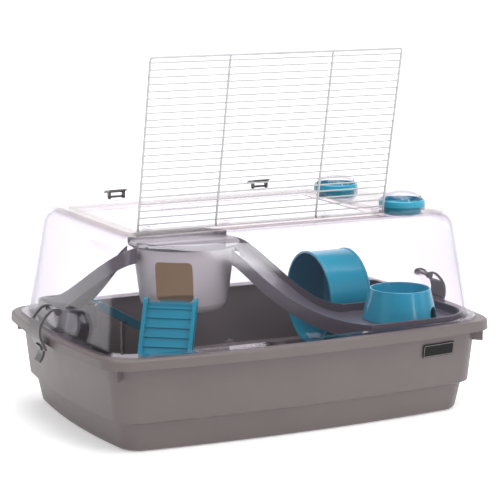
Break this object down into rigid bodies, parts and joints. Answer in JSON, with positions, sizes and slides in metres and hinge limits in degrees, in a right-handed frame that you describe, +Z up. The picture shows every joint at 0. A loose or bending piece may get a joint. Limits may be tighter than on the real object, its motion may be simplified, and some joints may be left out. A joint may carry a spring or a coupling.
{
  "type": "hamster cage",
  "caption": "Hamster cage: plastic tray, clear lift-off hood with latches, roof wire door, capped tunnel ports, house, slide, ladders, wheel and bowl.",
  "frame": {"origin": "middle of the tray's underside", "axes": "+X along the cage towards the ports, -Y towards the front, +Z up"},
  "size_m": [0.6092, 0.408, 0.488],
  "materials": {
    "tray_taupe": "satin, fine grain",
    "platform_mauve": "satin",
    "teal": "glossy, slightly see-through",
    "house_white": "satin",
    "wire_white": "gloss enamel",
    "clip_dark": "satin",
    "latch_grey": "satin",
    "label_black": "satin",
    "clear_hood": "clear, polished",
    "clear_tinted": "clear, smoke tint"
  },
  "bodies": {
    "base": {"tray": "tray_taupe", "label_plate": "label_black", "left_platform": "platform_mauve", "left_ramp": "platform_mauve", "upper_platform": "platform_mauve", "house": "house_white", "slide": "platform_mauve", "right_platform": "platform_mauve", "wheel_bracket": "platform_mauve", "wheel_axle": "clip_dark"},
    "hood": {"hood": "clear_hood", "hood_clip_front": "clear_hood", "hood_clip_rear": "clear_hood", "roof_frame": "clear_tinted", "hinge_block_1": "clear_hood", "hinge_block_2": "clear_hood", "hinge_block_3": "clear_hood", "hinge_block_4": "clear_hood", "clip_lug_left": "clear_hood", "clip_lug_right": "clear_hood", "latch_pin_left": "latch_grey", "latch_pin_right": "latch_grey"},
    "roof_door": {"wire_door": "wire_white"},
    "door_clip_left": {"door_clip_left": "clip_dark"},
    "door_clip_right": {"door_clip_right": "clip_dark"},
    "port_front": {"port_ring_front": "teal", "port_cap_front": "clear_hood", "port_pin_front_1": "clip_dark", "port_pin_front_2": "clip_dark"},
    "port_rear": {"port_ring_rear": "teal", "port_cap_rear": "clear_hood", "port_pin_rear_1": "clip_dark", "port_pin_rear_2": "clip_dark"},
    "latch_left": {"latch_left": "latch_grey"},
    "latch_right": {"latch_right": "latch_grey"},
    "wheel": {"wheel": "teal"},
    "bowl": {"bowl": "teal"},
    "ladder_front": {"ladder_front": "teal"},
    "ladder_back": {"ladder_back": "teal"}
  },
  "joints": [
    {"name": "hood_lift", "type": "slide", "parent": "base", "child": "hood", "axis": [0, 0, 1], "range_m": [0, 0.2]},
    {"name": "roof_door_hinge", "type": "hinge", "parent": "hood", "child": "roof_door", "pos_m": [0, -0.1105, 0.2692], "axis": [1, 0, 0], "range_deg": [-101.5, 0]},
    {"name": "door_clip_left_hinge", "type": "hinge", "parent": "hood", "child": "door_clip_left", "pos_m": [-0.138, 0.1215, 0.2773], "axis": [1, 0, 0], "range_deg": [0, 70]},
    {"name": "door_clip_right_hinge", "type": "hinge", "parent": "hood", "child": "door_clip_right", "pos_m": [0.08, 0.1215, 0.2773], "axis": [1, 0, 0], "range_deg": [0, 70]},
    {"name": "port_front_lift", "type": "slide", "parent": "hood", "child": "port_front", "axis": [0, 0, 1], "range_m": [0, 0.025]},
    {"name": "port_rear_lift", "type": "slide", "parent": "hood", "child": "port_rear", "axis": [0, 0, 1], "range_m": [0, 0.025]},
    {"name": "latch_left_hinge", "type": "hinge", "parent": "hood", "child": "latch_left", "pos_m": [-0.278, 0, 0.156], "axis": [0, 1, 0], "range_deg": [0, 70]},
    {"name": "latch_right_hinge", "type": "hinge", "parent": "hood", "child": "latch_right", "pos_m": [0.278, 0, 0.156], "axis": [0, -1, 0], "range_deg": [0, 70]},
    {"name": "wheel_spin", "type": "hinge", "parent": "base", "child": "wheel", "pos_m": [0.15, 0.045, 0.127], "axis": [1, 0, 0], "continuous": true},
    {"name": "bowl_lift", "type": "slide", "parent": "base", "child": "bowl", "axis": [0, 0, 1], "range_m": [0, 0.06]},
    {"name": "ladder_front_lift", "type": "slide", "parent": "base", "child": "ladder_front", "axis": [0, 0, 1], "range_m": [0, 0.03]},
    {"name": "ladder_back_lift", "type": "slide", "parent": "base", "child": "ladder_back", "axis": [0, 0, 1], "range_m": [0, 0.02]}
  ]
}
